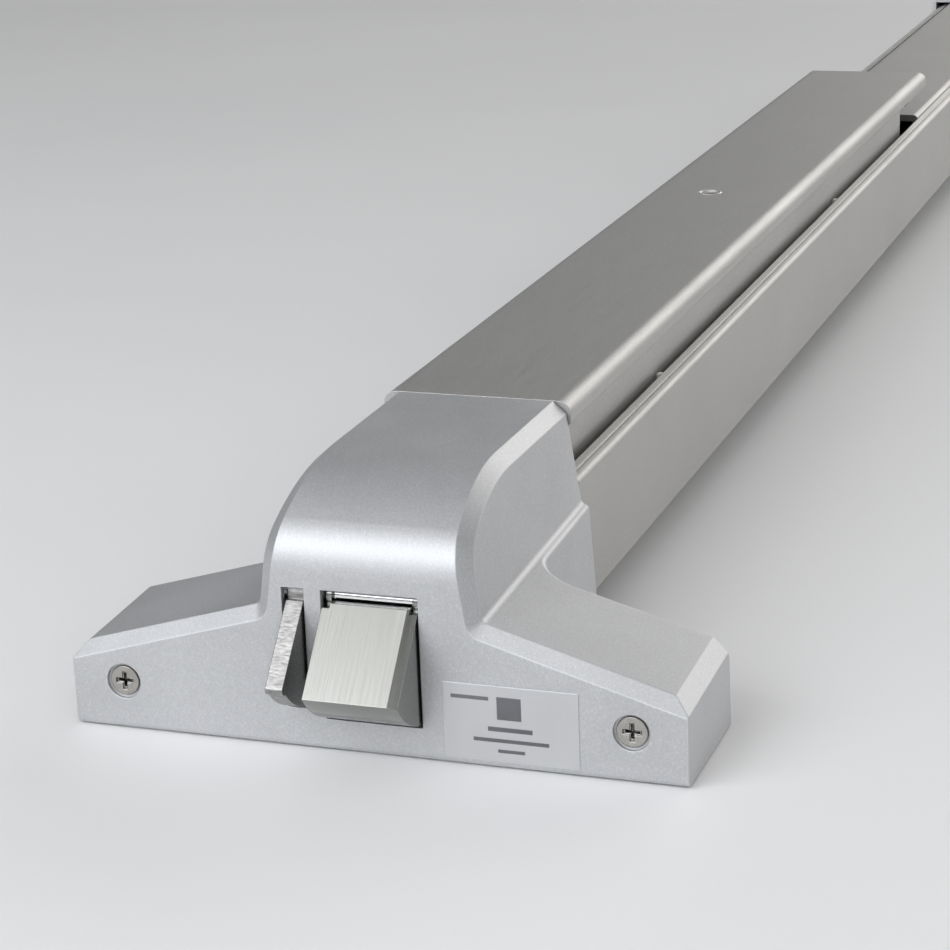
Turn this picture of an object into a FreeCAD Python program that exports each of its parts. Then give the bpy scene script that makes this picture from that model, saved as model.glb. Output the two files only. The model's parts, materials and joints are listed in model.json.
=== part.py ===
import FreeCAD, Part
import os
import re
import Sketcher

# Push-bar panic exit device, laid on its back: the door face is Z = 0, X runs along the bar away
# from the latch head, Y runs across it, and +Z points away from the door. The origin is the centre
# of the head's four door-bolt holes, on the door face.

DIMENSIONS = {
    # latch head
    "head_front": -22.5, "head_length": 100, "head_top": 79.8, "base_half": 95, "wing_depth": 48,
    "wing_end_height": 21.4, "wing_bevel_width": 4.3, "wing_bevel_height": 4.7, "wing_slope": 16.26,
    "foot_half": 34.2, "tower_draft": 8.4, "section_rise": 2.5, "foot_fillet": 2.2,
    "nose_length": 45.6, "nose_rise": 25.6, "nose_radius": 17, "edge_bevel": 3.8, "sole_round": 2,
    "shoulder_half": 39.4, "plan_radius": 9, "rear_draft": 3.6, "wing_back_round": 1.6,
    "cover_wall": 2.2, "tower_cavity_half": 25.5, "pivot_cavity_half": 28.6, "pivot_cavity_depth": 14,
    "pivot_cavity_height": 54, "wing_wall": 3, "wing_cavity_half": 92, "wing_cavity_end_height": 19.2,
    "rail_cavity_half": 34.2, "rail_cavity_height": 39.5, "side_cavity_half": 30.6,
    "side_cavity_foot": 44.5, "side_cavity_top_half": 27.6, "side_cavity_top": 66,
    "side_cavity_start": 12,
    "bolt_window_left": 13.5, "bolt_window_right": 16.3, "bolt_window_low": 9.9,
    "bolt_window_high": 49.7, "lever_window_inner": 18.7, "lever_window_outer": 25.65,
    "lever_window_low": 12.6,
    "cover_screw_half": 78.6, "cover_screw_height": 15.2, "cover_screw_radius": 2.5,
    "screw_head_radius": 4.7, "screw_sink": 0.5, "screw_length": 12,
    "recess_radius": 5.5, "recess_depth": 1.3, "boss_radius": 6.8, "boss_depth": 5,
    "thread_gap": 0.05, "shank_gap": 0.25, "cross_half": 0.55, "cross_reach": 2.2, "cross_depth": 2.6,
    "cross_mouth": 2.9, "cross_mouth_half": 0.8, "cross_step": 0.6,
    # chassis
    "plate": 3, "plate_wing_half": 91.2, "plate_front_gap": 3.6, "plate_wing_depth": 42.4,
    "plate_tower_half": 33.2, "plate_length": 96, "cheek_inner": 25.9, "cheek_thick": 2,
    "cheek_front": 2.6, "cheek_top": 51.6, "cheek_top_depth": 13, "cheek_foot_depth": 40,
    "cheek_foot_height": 10, "lug_front": 5.4, "lug_half": 5.5, "lug_height": 22,
    "rib_inner": 18, "rib_outer": 24, "rib_start": 56, "rib_end": 90, "rail_screw_place": 72,
    "rail_screw_half": 21, "rail_screw_radius": 2, "pan_radius": 3.6, "pan_height": 2.2,
    "rail_screw_depth": 7, "bolt_hole_radius": 2.75, "bolt_hole_reach": 11, "bolt_hole_half": 60,
    # latch bolt, dead-latch lever and their pivot pin
    "pin_setback": 6, "pin_height": 46.8, "pin_radius": 2.3, "pin_half": 28.2, "pin_gap": 0.06,
    "bolt_left": 13, "bolt_right": 15.8, "bolt_throw": 18.5, "bolt_tip_height": 23.4,
    "bolt_face_top": 45.8, "bolt_face_setback": 0.6, "bolt_sole_height": 10.8, "bolt_sole_radius": 34,
    "bolt_back": 4, "bolt_back_sole": 11, "bolt_back_top": 43.2, "bolt_top_back": 2.8,
    "bolt_notch_width": 2.3, "bolt_notch_height": 1.2, "bolt_edge_face": 3, "bolt_edge_side": 0.9,
    "ear_width": 1.7, "ear_inset": 0.3, "ear_radius": 3.6, "ear_foot": 40,
    "ear_back": 8, "slot_low": 1.5, "slot_high": 7, "slot_clear": 5, "slot_foot": 17, "slot_ahead": 4,
    "retract_arm": 12, "retract_lead": 20.1, "retract_pin_radius": 1.7, "retract_pin_low": 0.4,
    "retract_pin_high": 8.9,
    "lever_inner": 19.3, "lever_outer": 24.7, "lever_throw": 17.2, "lever_tip_height": 25.6,
    "lever_face_top": 45.4, "lever_face_setback": 1, "lever_tip_round": 1.6, "lever_sole_height": 13.4,
    "lever_sole_radius": 30, "lever_back": 4, "lever_hub_radius": 3.7,
    "torsion_mean": 3, "torsion_wire": 0.5, "torsion_pitch": 1.25, "torsion_leg": 11,
    "bolt_coil_start": 24.8, "bolt_coil_turns": 6, "lever_coil_start": 13.9, "lever_coil_turns": 3,
    # rail and filler
    "rail_half": 33.3, "rail_low": 12.3, "rail_top": 55, "rail_wall": 2, "ledge_edge": 27.9,
    "ledge_slope": 18, "rail_corner": 2, "rail_joint_gap": 0.6, "rail_end": 1132.5, "tongue_start": 45,
    "tongue_height": 24, "ledge_groove": 30.1, "ledge_groove_width": 0.7, "ledge_groove_depth": 0.4,
    "filler_start": 699.5, "filler_end": 1130, "filler_half": 27.3, "filler_top": 57.2,
    "filler_thick": 3.4, "filler_round": 3, "filler_leg": 3.1, "filler_foot_top": 52.5,
    "filler_foot_low": 50.5, "filler_foot_half": 31,
    # push bar
    "bar_start": 78.3, "bar_end": 697.5, "bar_top": 79.8, "bar_plate": 2.2,
    "bead_half": 31.2, "bead_radius": 4.2, "bead_low": 71.8, "bead_foot": 1.8,
    "skirt_half": 25, "skirt_wall": 2,
    "skirt_low": 46, "skirt_end": 659.5, "lip_half": 15, "lip_low": 73.5, "lip_top": 75,
    "plug_length": 10, "plug_near_start": 79.5, "plug_far_start": 686, "plug_half": 22.7,
    "plug_low": 64, "plug_top": 73.3, "plug_web_half": 14.8, "plug_web_top": 77.4,
    # actuators
    "station_near": 196.5, "station_far": 493.5, "crank_height": 30, "crank_arm": 20,
    "crank_lead": 22.02, "link_arm": 11, "crank_half": 2.5, "crank_hub_radius": 5,
    "crank_hub_half": 8.5, "arm_radius": 4, "crank_bore_gap": 0.05, "roller_radius": 2,
    "roller_reach": 9, "link_pin_radius": 1.9, "link_pin_reach": 5.8, "slot_gap": 0.25,
    "base_thick": 2, "base_back": 30, "base_ahead": 32, "base_half_width": 18.5, "post_inner": 9,
    "post_outer": 11, "post_reach": 8, "post_top": 37, "crank_pin_radius": 2.5,
    "crank_pin_head": 4, "crank_pin_half": 12.2, "rivet_radius": 1.6, "rivet_gap": 0.05,
    "rivet_head_radius": 3, "rivet_head_height": 1.2, "rivet_back": 26, "rivet_ahead": 28,
    "rivet_half": 14, "bumper_start": 13, "bumper_end": 25, "bumper_half": 9, "bumper_height": 2,
    "bracket_back": 26, "bracket_ahead": 30, "bracket_half": 22.5, "bracket_low": 75.2,
    "bracket_high": 77.4, "fork_inner": 6, "fork_outer": 8, "fork_low": 33.5, "fork_near_low": 12,
    "fork_near_high": 9, "fork_far_low": 27, "fork_far_high": 29, "spring_back": 18,
    "spring_side": 9, "spring_mean": 5, "spring_wire": 0.7, "spring_turns": 13,
    "spring_seat_gap": 0.1, "guide_post_radius": 3, "guide_post_low": 55, "seat_post_height": 6,
    "clip_reach": 3, "clip_inner": 25.3, "clip_lip": 27.7, "clip_outer": 30.5, "clip_low": 49.5,
    "clip_shelf": 52.7, "clip_top": 56.1, "clip_lip_reach": 1.5, "clip_lip_inner": 26,
    # link rod
    "link_low": 35.6, "link_high": 45.6, "link_inner": 3.2, "link_outer": 5.2, "eye_radius": 4.2,
    "link_tail": 8, "eye_neck": 14, "link_neck": 20,
    # dogging
    "dog_place": 389.5, "dog_side": 4.5, "rim_outer": 5.2, "rim_inner": 3.8, "rim_flange": 7,
    "rim_low": 75.4, "rim_high": 80.1, "rim_step": 77.5, "hub_radius": 3.74, "hub_low": 57,
    "hub_high": 79.2, "hub_collar": 6, "collar_low": 72.8, "collar_high": 75.3, "key_flats": 5.6,
    "key_depth": 9, "hook_low": 54, "hook_reach": 12, "hook_half": 2.5, "catch_reach": 10,
    "catch_foot_inner": 9, "catch_wall_inner": 18.5, "catch_wall_outer": 20.5,
    "catch_lip_inner": 10.5, "catch_lip_low": 43, "catch_lip_high": 46, "catch_rivet_side": 13.5,
    "catch_rivet_reach": 6,
    # far end
    "cap_start": 1105.5, "cap_end": 1177.5, "cap_top": 60, "cap_half": 36.8, "cap_nose_length": 34,
    "cap_nose_rise": 22, "cap_nose_radius": 14, "cap_bevel": 3.2, "cap_cavity_half": 34.4,
    "cap_screw_half": 20, "cap_screw_height": 13, "foot_start": 1113.5, "foot_end": 1173.5,
    "foot_plate_half": 33.5, "foot_rib_end": 1131.5, "foot_screw_place": 1123.5, "tab_start": 1168,
    "tab_half": 28, "tab_top": 22, "foot_hole_place": 1147.5, "foot_hole_half": 14,
    # label
    "label_thick": 0.25, "label_near": 22.8, "label_far": 63.3, "label_low": 2.3, "label_high": 25.4,
}

doc = FreeCAD.newDocument("PanicExitBar")
sheet = doc.addObject("Spreadsheet::Sheet", "dims")
for row, (name, size) in enumerate(DIMENSIONS.items(), start=1):
    sheet.set(f"A{row}", name)
    sheet.set(f"B{row}", str(size))
    sheet.setAlias(f"B{row}", name)
doc.recompute()

CLEAR = "120"      # a cut that has to pass every face of its piece
PAST = "1"         # how far a cut runs past the face it opens
PLANES = {"X": "YZ_Plane", "Y": "XZ_Plane", "Z": "XY_Plane"}
CCW, CW = 1, -1
pieces = []


def bound(text):
    """The expression with every dimension name turned into a reference to its cell."""
    return re.sub(r"[a-z_]+", lambda m: "dims." + m[0] if m[0] in DIMENSIONS else m[0], text)


def number(text):
    return float(sheet.evalExpression(bound(text)))


def neg(text):
    return f"-({text})"


# Outlines. A loop is a list of corners (u, v), and (u, v, radius, turn) starts an arc to the next.


def rect(u_low, u_high, v_low, v_high):
    return [(u_low, v_low), (u_high, v_low), (u_high, v_high), (u_low, v_high)]


def circle(u, v, radius):
    return {"centre": (u, v), "radius": radius}


def flipped(loop, axis):
    """The loop's mirror image: axis 0 negates u, axis 1 negates v."""
    if isinstance(loop, dict):
        centre = list(loop["centre"])
        centre[axis] = neg(centre[axis])
        return {"centre": tuple(centre), "radius": loop["radius"]}
    out = []
    for corner in loop:
        corner = list(corner)
        corner[axis] = neg(corner[axis])
        if len(corner) == 4:
            corner[3] = -corner[3]
        out.append(tuple(corner))
    return out


def both_sides(axis, *loops):
    """Each loop and its mirror image across Y = 0, on the plane normal to the given axis."""
    return [f for loop in loops for f in (loop, flipped(loop, 0 if axis == "X" else 1))]


def symmetric(half):
    """A loop mirrored in u = 0, from the corners of its half with u above 0, listed from low to top."""
    left = []
    for i in range(len(half) - 1, -1, -1):
        u, v = half[i][:2]
        before = half[i - 1] if i else ()
        arc = before[2:] if len(before) == 4 else ()
        left.append((neg(u), v) + tuple(arc))
    return list(half) + left


def bar(u, v, length, angle, radius):
    """A straight bar with round ends, from the centre (u, v) along the angle."""
    along, across = f"cos({angle})", f"sin({angle})"
    corners = []
    for reach, side in (("0", "1"), (f"-{radius}", "0"), ("0", "-1"),
                        (length, "-1"), (f"{length} + {radius}", "0"), (length, "1")):
        corners.append((f"{u} + ({reach}) * {along} - ({side}) * ({radius}) * {across}",
                        f"{v} + ({reach}) * {across} + ({side}) * ({radius}) * {along}"))
    for i in (0, 1, 3, 4):
        corners[i] += (radius, CCW)
    return corners


def nose(start, length, rise, radius, top, inset="0"):
    """The two-arc curve from the upright face at X = start to the flat top: (corners, both radii)."""
    big = f"((({length} - {radius})^2 + {rise}^2 - {radius}^2) / (2 * ({rise} - {radius})))"
    sign = "1" if start == "head_front" else "-1"
    mid_x = f"{start} + {sign} * ({radius} - ({radius} - {inset}) * ({length} - {radius}) / ({big} - {radius}))"
    mid_z = f"{top} - {rise} + ({radius} - {inset}) * ({big} - {rise}) / ({big} - {radius})"
    return [(f"{start} + {sign} * {length}", f"{top} - {inset}"),
            (mid_x, mid_z),
            (f"{start} + {sign} * {inset}", f"{top} - {rise}")], f"{big} - {inset}", f"{radius} - {inset}"


class Piece:
    """One PartDesign body, built from sketches whose every corner is bound to the sheet."""

    def __init__(self, label):
        self.body = doc.addObject("PartDesign::Body", label + "_body")
        self.body.Label = label
        self.body.AllowCompound = True
        self.count = 0
        pieces.append(self.body)

    def plane(self, role):
        return next(f for f in self.body.Origin.OriginFeatures if f.Role == role)

    def sketch(self, axis, place, loops, tilt=None):
        self.count += 1
        sketch = self.body.newObject("Sketcher::SketchObject", f"{self.body.Label}_sketch{self.count}")
        sketch.AttachmentSupport = [(self.plane(PLANES[axis]), "")]
        sketch.MapMode = "FlatFace"
        sketch.setExpression("AttachmentOffset.Base.z", bound(place))
        if tilt:
            sketch.AttachmentOffset = FreeCAD.Placement(FreeCAD.Vector(0, 0, number(place)),
                                                        FreeCAD.Rotation(FreeCAD.Vector(1, 0, 0), 0))
            sketch.setExpression("AttachmentOffset.Rotation.Axis.x", "1")
            sketch.setExpression("AttachmentOffset.Rotation.Angle", bound(neg(tilt)))
        for loop in loops:
            if isinstance(loop, dict):
                self.draw_circle(sketch, loop)
            else:
                self.draw_loop(sketch, loop)
        return sketch

    @staticmethod
    def fix_point(sketch, geometry, end, u, v):
        for kind, text in (("DistanceX", u), ("DistanceY", v)):
            index = sketch.addConstraint(
                Sketcher.Constraint(kind, -1, 1, geometry, end, number(text)))
            sketch.setExpression(f"Constraints[{index}]", bound(text))

    @staticmethod
    def fix_radius(sketch, geometry, text):
        index = sketch.addConstraint(Sketcher.Constraint("Radius", geometry, number(text)))
        sketch.setExpression(f"Constraints[{index}]", bound(text))

    def draw_circle(self, sketch, loop):
        u, v = loop["centre"]
        centre = FreeCAD.Vector(number(u), number(v), 0)
        index = sketch.addGeometry(
            Part.Circle(centre, FreeCAD.Vector(0, 0, 1), number(loop["radius"])), False)
        self.fix_point(sketch, index, 3, u, v)
        self.fix_radius(sketch, index, loop["radius"])

    def draw_loop(self, sketch, loop):
        points = [FreeCAD.Vector(number(c[0]), number(c[1]), 0) for c in loop]
        drawn = []
        for i, corner in enumerate(loop):
            start, end = points[i], points[(i + 1) % len(loop)]
            if len(corner) == 4:
                drawn.append(self.draw_arc(sketch, start, end, corner[2], corner[3]))
            else:
                drawn.append((sketch.addGeometry(Part.LineSegment(start, end), False), 1, 2))
        for i, corner in enumerate(loop):
            before = drawn[i - 1]
            sketch.addConstraint(
                Sketcher.Constraint("Coincident", before[0], before[2], drawn[i][0], drawn[i][1]))
            self.fix_point(sketch, drawn[i][0], drawn[i][1], corner[0], corner[1])

    def draw_arc(self, sketch, start, end, radius_text, turn):
        radius = number(radius_text)
        chord = end - start
        left = FreeCAD.Vector(-chord.y, chord.x, 0).normalize()
        height = max(radius**2 - (chord.Length / 2) ** 2, 0) ** 0.5
        centre = (start + end) * 0.5 + left * (turn * height)
        first, last = (start, end) if turn == CCW else (end, start)
        arc = Part.ArcOfCircle(
            Part.Circle(centre, FreeCAD.Vector(0, 0, 1), radius),
            FreeCAD.Vector(1, 0, 0).getAngle(first - centre) * (1 if first.y >= centre.y else -1),
            FreeCAD.Vector(1, 0, 0).getAngle(last - centre) * (1 if last.y >= centre.y else -1))
        index = sketch.addGeometry(arc, False)
        self.fix_radius(sketch, index, radius_text)
        return (index, 1, 2) if turn == CCW else (index, 2, 1)

    def feature(self, kind, axis, low, high, loops, tilt, taper):
        place = neg(high) if axis == "Y" else low
        sketch = self.sketch(axis, place, loops, tilt)
        made = self.body.newObject(f"PartDesign::{kind}", f"{self.body.Label}_{kind}{self.count}")
        made.Profile = sketch
        made.setExpression("Length", bound(f"{high} - ({low})"))
        if taper:
            made.setExpression("TaperAngle", bound(taper))
        made.Reversed = kind == "Pocket"
        sketch.Visibility = False
        return made

    def add(self, axis, low, high, *loops, tilt=None, taper=None):
        """Material between two planes normal to the axis."""
        self.feature("Pad", axis, low, high, loops, tilt, taper)
        return self

    def cut(self, axis, low, high, *loops, tilt=None, taper=None):
        self.feature("Pocket", axis, low, high, loops, tilt, taper)
        return self

    def edges(self, chosen):
        doc.recompute()
        shape = self.body.Tip.Shape
        names = [f"Edge{i}" for i, e in enumerate(shape.Edges, start=1) if chosen(e)]
        if not names:
            raise RuntimeError(f"{self.body.Label}: no edge fits the choice")
        return names

    def round(self, radius, chosen):
        names = self.edges(chosen)
        base = self.body.Tip
        made = self.body.newObject("PartDesign::Fillet", f"{self.body.Label}_Fillet{self.count}")
        made.Base = (base, names)
        made.setExpression("Radius", bound(radius))
        return self

    def bevel(self, size, chosen, second=None):
        names = self.edges(chosen)
        base = self.body.Tip
        made = self.body.newObject("PartDesign::Chamfer", f"{self.body.Label}_Chamfer{self.count}")
        made.Base = (base, names)
        made.setExpression("Size", bound(size))
        if second:
            made.ChamferType = "Two distances"
            made.setExpression("Size2", bound(second))
        return self


def middle(edge):
    return edge.valueAt((edge.FirstParameter + edge.LastParameter) / 2)


def near(a, b, slack=0.02):
    return abs(a - b) < slack


FRONT = "head_front"
HEAD_BACK = "(head_front + head_length)"
PIN_X = "(head_front + pin_setback)"
RETRACT_X = "(head_front + pin_setback - retract_arm * sin(retract_lead))"
RETRACT_Z = "(pin_height - retract_arm * cos(retract_lead))"
EYE_Z = "(pin_height - retract_arm * (1 + cos(retract_lead)) / 2)"
FOOT_Z = "(wing_end_height + wing_bevel_height + (base_half - wing_bevel_width - foot_half) * tan(wing_slope))"
STATIONS = {"1": "station_near", "2": "station_far"}


def shell_profile(inset="0"):
    """Side outline of the head, or of its cavity when inset by the wall."""
    corners, big, small = nose(FRONT, "nose_length", "nose_rise", "nose_radius", "head_top", inset)
    start, mid, end = corners
    if inset == "0":
        foot = [(FRONT, "sole_round", "sole_round", CCW), (f"{FRONT} + sole_round", "0")]
        back, low = HEAD_BACK, "0"
    else:
        foot = [(f"{FRONT} + {inset}", neg(PAST))]
        back, low = f"{HEAD_BACK} + {PAST}", neg(PAST)
    return [(back, low), (back, f"head_top - {inset}"), start + (big, CCW), mid + (small, CCW), end] + foot


def head_cover():
    cover = Piece("head_cover")
    cover.add("Y", "-base_half", "base_half", shell_profile())
    corner_end = f"{HEAD_BACK} + plan_radius"
    behind_wing = [
        (f"{FRONT} + wing_depth", CLEAR),
        (f"{FRONT} + wing_depth", "shoulder_half + plan_radius", "plan_radius", CCW),
        (f"{FRONT} + wing_depth + plan_radius", "shoulder_half"),
        (corner_end, "shoulder_half"),
        (corner_end, CLEAR)]
    cover.cut("Z", "0", CLEAR, *both_sides("Z", behind_wing), taper="rear_draft")
    above = [
        (CLEAR, f"wing_end_height - ({CLEAR} - base_half) * wing_bevel_height / wing_bevel_width"),
        ("base_half - wing_bevel_width", "wing_end_height + wing_bevel_height"),
        ("foot_half", FOOT_Z),
        (f"foot_half - ({CLEAR} - {FOOT_Z}) * tan(tower_draft)", CLEAR),
        (CLEAR, CLEAR)]
    cover.cut("X", FRONT, f"{FRONT} + head_length + {CLEAR}", *both_sides("X", above),
              tilt="section_rise")

    foot, front = number("foot_half"), number(FRONT)
    wing_edge = number("base_half - wing_bevel_width")
    cover.round("foot_fillet", lambda e: near(abs(middle(e).y), foot, 0.3) and middle(e).z > 40
                and near(abs(e.Vertexes[0].Point.y), abs(e.Vertexes[-1].Point.y)))

    top, rise_foot = number("head_top"), number("head_top - nose_rise")
    nose_end = front + number("nose_length")

    def on_outline(edge):
        point = middle(edge)
        flat_front = near(point.x, front) and point.z < rise_foot + 1
        curved = point.z > rise_foot and point.x < nose_end
        flat_top = near(point.z, top) and edge.BoundBox.XLength > 5
        along_side = edge.BoundBox.YLength < 8 or edge.BoundBox.ZLength > 5
        return (20 < abs(point.y) < wing_edge and point.z > number("wing_end_height + 1")
                and along_side and (flat_front or curved or flat_top))

    cover.bevel("edge_bevel", on_outline)
    wing_back = front + number("wing_depth")
    cover.round("wing_back_round", lambda e: wing_back - 5 < middle(e).x < number(HEAD_BACK) - 2
                and 20 < middle(e).z < number(FOOT_Z) + 6
                and abs(middle(e).y) > number("foot_half + foot_fillet"))

    cover.cut("Y", "-tower_cavity_half", "tower_cavity_half", shell_profile("cover_wall"))
    side_room = symmetric([
        ("rail_cavity_half", neg(PAST)), ("rail_cavity_half", "rail_cavity_height"),
        ("side_cavity_half", "side_cavity_foot"), ("side_cavity_top_half", "side_cavity_top")])
    cover.cut("X", f"{FRONT} + side_cavity_start", f"{HEAD_BACK} + {PAST}", side_room)
    cover.cut("X", f"{FRONT} + cover_wall", f"{FRONT} + pivot_cavity_depth",
              rect("-pivot_cavity_half", "pivot_cavity_half", neg(PAST), "pivot_cavity_height"))
    wing_room = symmetric([
        ("wing_cavity_half", neg(PAST)), ("wing_cavity_half", "wing_cavity_end_height"),
        ("wing_cavity_half - wing_bevel_width", "wing_cavity_end_height + wing_bevel_height"),
        ("foot_half", f"{FOOT_Z} - wing_wall")])
    cover.cut("X", f"{FRONT} + wing_wall", f"{FRONT} + wing_depth - 1.6 * wing_wall", wing_room)

    screw = ("cover_screw_half", "cover_screw_height")
    cover.add("X", f"{FRONT} + {PAST}", f"{FRONT} + boss_depth",
              *both_sides("X", circle(*screw, "boss_radius")))
    cover.cut("X", f"{FRONT} - {PAST}", f"{FRONT} + recess_depth",
              *both_sides("X", circle(*screw, "recess_radius")))
    cover.cut("X", f"{FRONT} - {PAST}", f"{FRONT} + boss_depth + {PAST}",
              *both_sides("X", circle(*screw, "cover_screw_radius + shank_gap")))
    cover.cut("X", f"{FRONT} - {PAST}", f"{FRONT} + 2 * cover_wall",
              rect("-bolt_window_right", "bolt_window_left", "bolt_window_low", "bolt_window_high"),
              rect("lever_window_inner", "lever_window_outer", "lever_window_low", "bolt_window_high"))


def head_chassis():
    chassis = Piece("head_chassis")
    front = f"{FRONT} + plate_front_gap"
    chassis.add("Z", "0", "plate",
                rect(front, f"{FRONT} + plate_wing_depth", "-plate_wing_half", "plate_wing_half"))
    chassis.add("Z", "0", "plate",
                rect(front, f"{FRONT} + plate_length", "-plate_tower_half", "plate_tower_half"))
    cheek = [(f"{FRONT} + cheek_front", "plate / 2"), (f"{FRONT} + cheek_foot_depth", "plate / 2"),
             (f"{FRONT} + cheek_foot_depth", "cheek_foot_height"),
             (f"{FRONT} + cheek_top_depth", "cheek_top"), (f"{FRONT} + cheek_front", "cheek_top")]
    for side in ("", "-"):
        low, high = sorted((f"{side}cheek_inner", f"{side}(cheek_inner + cheek_thick)"), key=number)
        chassis.add("Y", low, high, cheek)
    chassis.cut("Y", "-pin_half - 1", "pin_half + 1", circle(PIN_X, "pin_height", "pin_radius"))
    chassis.add("X", f"{FRONT} + lug_front", f"{FRONT} + lug_front + plate", *both_sides("X", rect(
        "cover_screw_half - lug_half", "cover_screw_half + lug_half", "plate / 2", "lug_height")))
    chassis.cut("X", FRONT, f"{FRONT} + lug_front + plate + {PAST}", *both_sides("X", circle(
        "cover_screw_half", "cover_screw_height", "cover_screw_radius + thread_gap")))
    chassis.add("Z", "plate / 2", "rail_low", *both_sides("Z", rect(
        f"{FRONT} + rib_start", f"{FRONT} + rib_end", "rib_inner", "rib_outer")))
    chassis.cut("Z", "plate", f"rail_low + {PAST}", *both_sides("Z", circle(
        f"{FRONT} + rail_screw_place", "rail_screw_half", "rail_screw_radius + thread_gap")))
    chassis.cut("Z", neg(PAST), f"plate + {PAST}",
                *both_sides("Z", circle("bolt_hole_reach", "bolt_hole_half", "bolt_hole_radius")),
                *both_sides("Z", circle("-bolt_hole_reach", "bolt_hole_half", "bolt_hole_radius")))


def latch_parts():
    pin = Piece("latch_pin")
    pin.add("Y", "-pin_half", "pin_half", circle(PIN_X, "pin_height", "pin_radius"))
    pin.bevel("torsion_wire", lambda e: near(abs(middle(e).y), number("pin_half")))

    bolt = Piece("latch_bolt")
    tip = (f"{FRONT} - bolt_throw", "bolt_tip_height")
    sole = (FRONT, "bolt_sole_height")
    bolt.add("Y", "-bolt_right", "bolt_left", [
        (f"{FRONT} + bolt_face_setback", "bolt_face_top"), tip + ("bolt_sole_radius", CCW), sole,
        (f"{FRONT} + bolt_back", "bolt_back_sole"), (f"{FRONT} + bolt_back", "bolt_back_top"),
        (f"{FRONT} + bolt_top_back", "bolt_face_top")])
    face_end = number("bolt_right")
    bolt.bevel("bolt_edge_face", lambda e: near(middle(e).y, -face_end) and middle(e).x < number(FRONT)
               and near(e.Length, number("sqrt((bolt_throw + bolt_face_setback)^2"
                                         " + (bolt_face_top - bolt_tip_height)^2)"), 0.1),
               second="bolt_edge_side")
    notch_low = "bolt_face_top - bolt_notch_height"
    bolt.cut("Z", notch_low, f"bolt_face_top + {PAST}",
             rect(f"{FRONT} - bolt_throw", f"{FRONT} + bolt_back", "bolt_left - bolt_notch_width", CLEAR),
             rect(f"{FRONT} - bolt_throw", f"{FRONT} + bolt_back", neg(CLEAR),
                  "bolt_notch_width - bolt_right"))
    for low in ("bolt_left - ear_inset - ear_width", "ear_inset - bolt_right"):
        bolt.add("Y", low, f"{low} + ear_width", circle(PIN_X, "pin_height", "ear_radius"))
        bolt.add("Y", low, f"{low} + ear_width",
                 rect(f"{FRONT} + bolt_top_back", f"{FRONT} + ear_back", "ear_foot", "pin_height"))
    bolt.cut("Y", f"-bolt_right - {PAST}", f"bolt_left + {PAST}",
             circle(PIN_X, "pin_height", "pin_radius + pin_gap"))
    bolt.cut("Y", "-slot_high", "-slot_low", circle(RETRACT_X, RETRACT_Z, "slot_clear"))
    bolt.cut("Y", "-slot_high", "-slot_low", rect(
        RETRACT_X, f"{FRONT} + bolt_back + {PAST}", "slot_foot", f"{RETRACT_Z} + slot_clear"))
    bolt.cut("Y", "-slot_high", "-slot_low", rect(
        f"{RETRACT_X} - slot_ahead", f"{FRONT} + bolt_back + {PAST}", "slot_foot", RETRACT_Z))
    bolt.cut("Y", "-retract_pin_high", "retract_pin_low",
             circle(RETRACT_X, RETRACT_Z, "retract_pin_radius"))

    retract = Piece("retract_pin")
    retract.add("Y", "-retract_pin_high", "retract_pin_low",
                circle(RETRACT_X, RETRACT_Z, "retract_pin_radius"))

    lever = Piece("dead_latch_lever")
    lever.add("Y", "lever_inner", "lever_outer", [
        (f"{FRONT} + lever_face_setback", "lever_face_top"),
        (f"{FRONT} - lever_throw", "lever_tip_height", "lever_tip_round", CCW),
        (f"{FRONT} - lever_throw + lever_tip_round", "lever_tip_height - 1.6 * lever_tip_round",
         "lever_sole_radius", CCW),
        (FRONT, "lever_sole_height"), (f"{FRONT} + lever_back", "lever_sole_height"),
        (f"{FRONT} + lever_back", "lever_face_top")])
    lever.add("Y", "lever_inner", "lever_outer", circle(PIN_X, "pin_height", "lever_hub_radius"))
    lever.cut("Y", f"lever_inner - {PAST}", f"lever_outer + {PAST}",
              circle(PIN_X, "pin_height", "pin_radius + pin_gap"))


def coil(label, mean, wire, pitch, turns, place, turn=FreeCAD.Rotation(), legs=()):
    """A wire spring: a helix swept by a round wire, with straight legs where it has them."""
    helix = doc.addObject("Part::Helix", label + "_helix")
    helix.setExpression("Radius", bound(mean))
    helix.setExpression("Pitch", bound(pitch))
    helix.setExpression("Height", bound(f"({pitch}) * {turns}"))
    section = doc.addObject("Part::Circle", label + "_wire")
    section.setExpression("Radius", bound(wire))
    section.Placement = FreeCAD.Placement(FreeCAD.Vector(number(mean), 0, 0),
                                          FreeCAD.Rotation(FreeCAD.Vector(1, 0, 0), 90))
    section.setExpression("Placement.Base.x", bound(mean))
    swept = doc.addObject("Part::Sweep", label + "_sweep")
    swept.Sections, swept.Spine, swept.Solid, swept.Frenet = [section], (helix, []), True, True
    solid = swept
    if legs:
        parts = [swept]
        for number_of_leg, height in enumerate(legs, start=1):
            leg = doc.addObject("Part::Cylinder", f"{label}_leg{number_of_leg}")
            leg.setExpression("Radius", bound(wire))
            leg.setExpression("Height", bound("torsion_leg"))
            away = 90 if number_of_leg == 1 else 70
            leg.Placement = FreeCAD.Placement(FreeCAD.Vector(number(mean), 0, number(height)),
                                              FreeCAD.Rotation(FreeCAD.Vector(1, 0, 0), away))
            leg.setExpression("Placement.Base.x", bound(mean))
            leg.setExpression("Placement.Base.z", bound(height))
            parts.append(leg)
        solid = doc.addObject("Part::MultiFuse", label + "_wirework")
        solid.Shapes = parts
    solid.Label = label
    solid.Placement = FreeCAD.Placement(FreeCAD.Vector(*[number(c) for c in place]), turn)
    for letter, text in zip("xyz", place):
        solid.setExpression(f"Placement.Base.{letter}", bound(text))
    pieces.append(solid)


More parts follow.
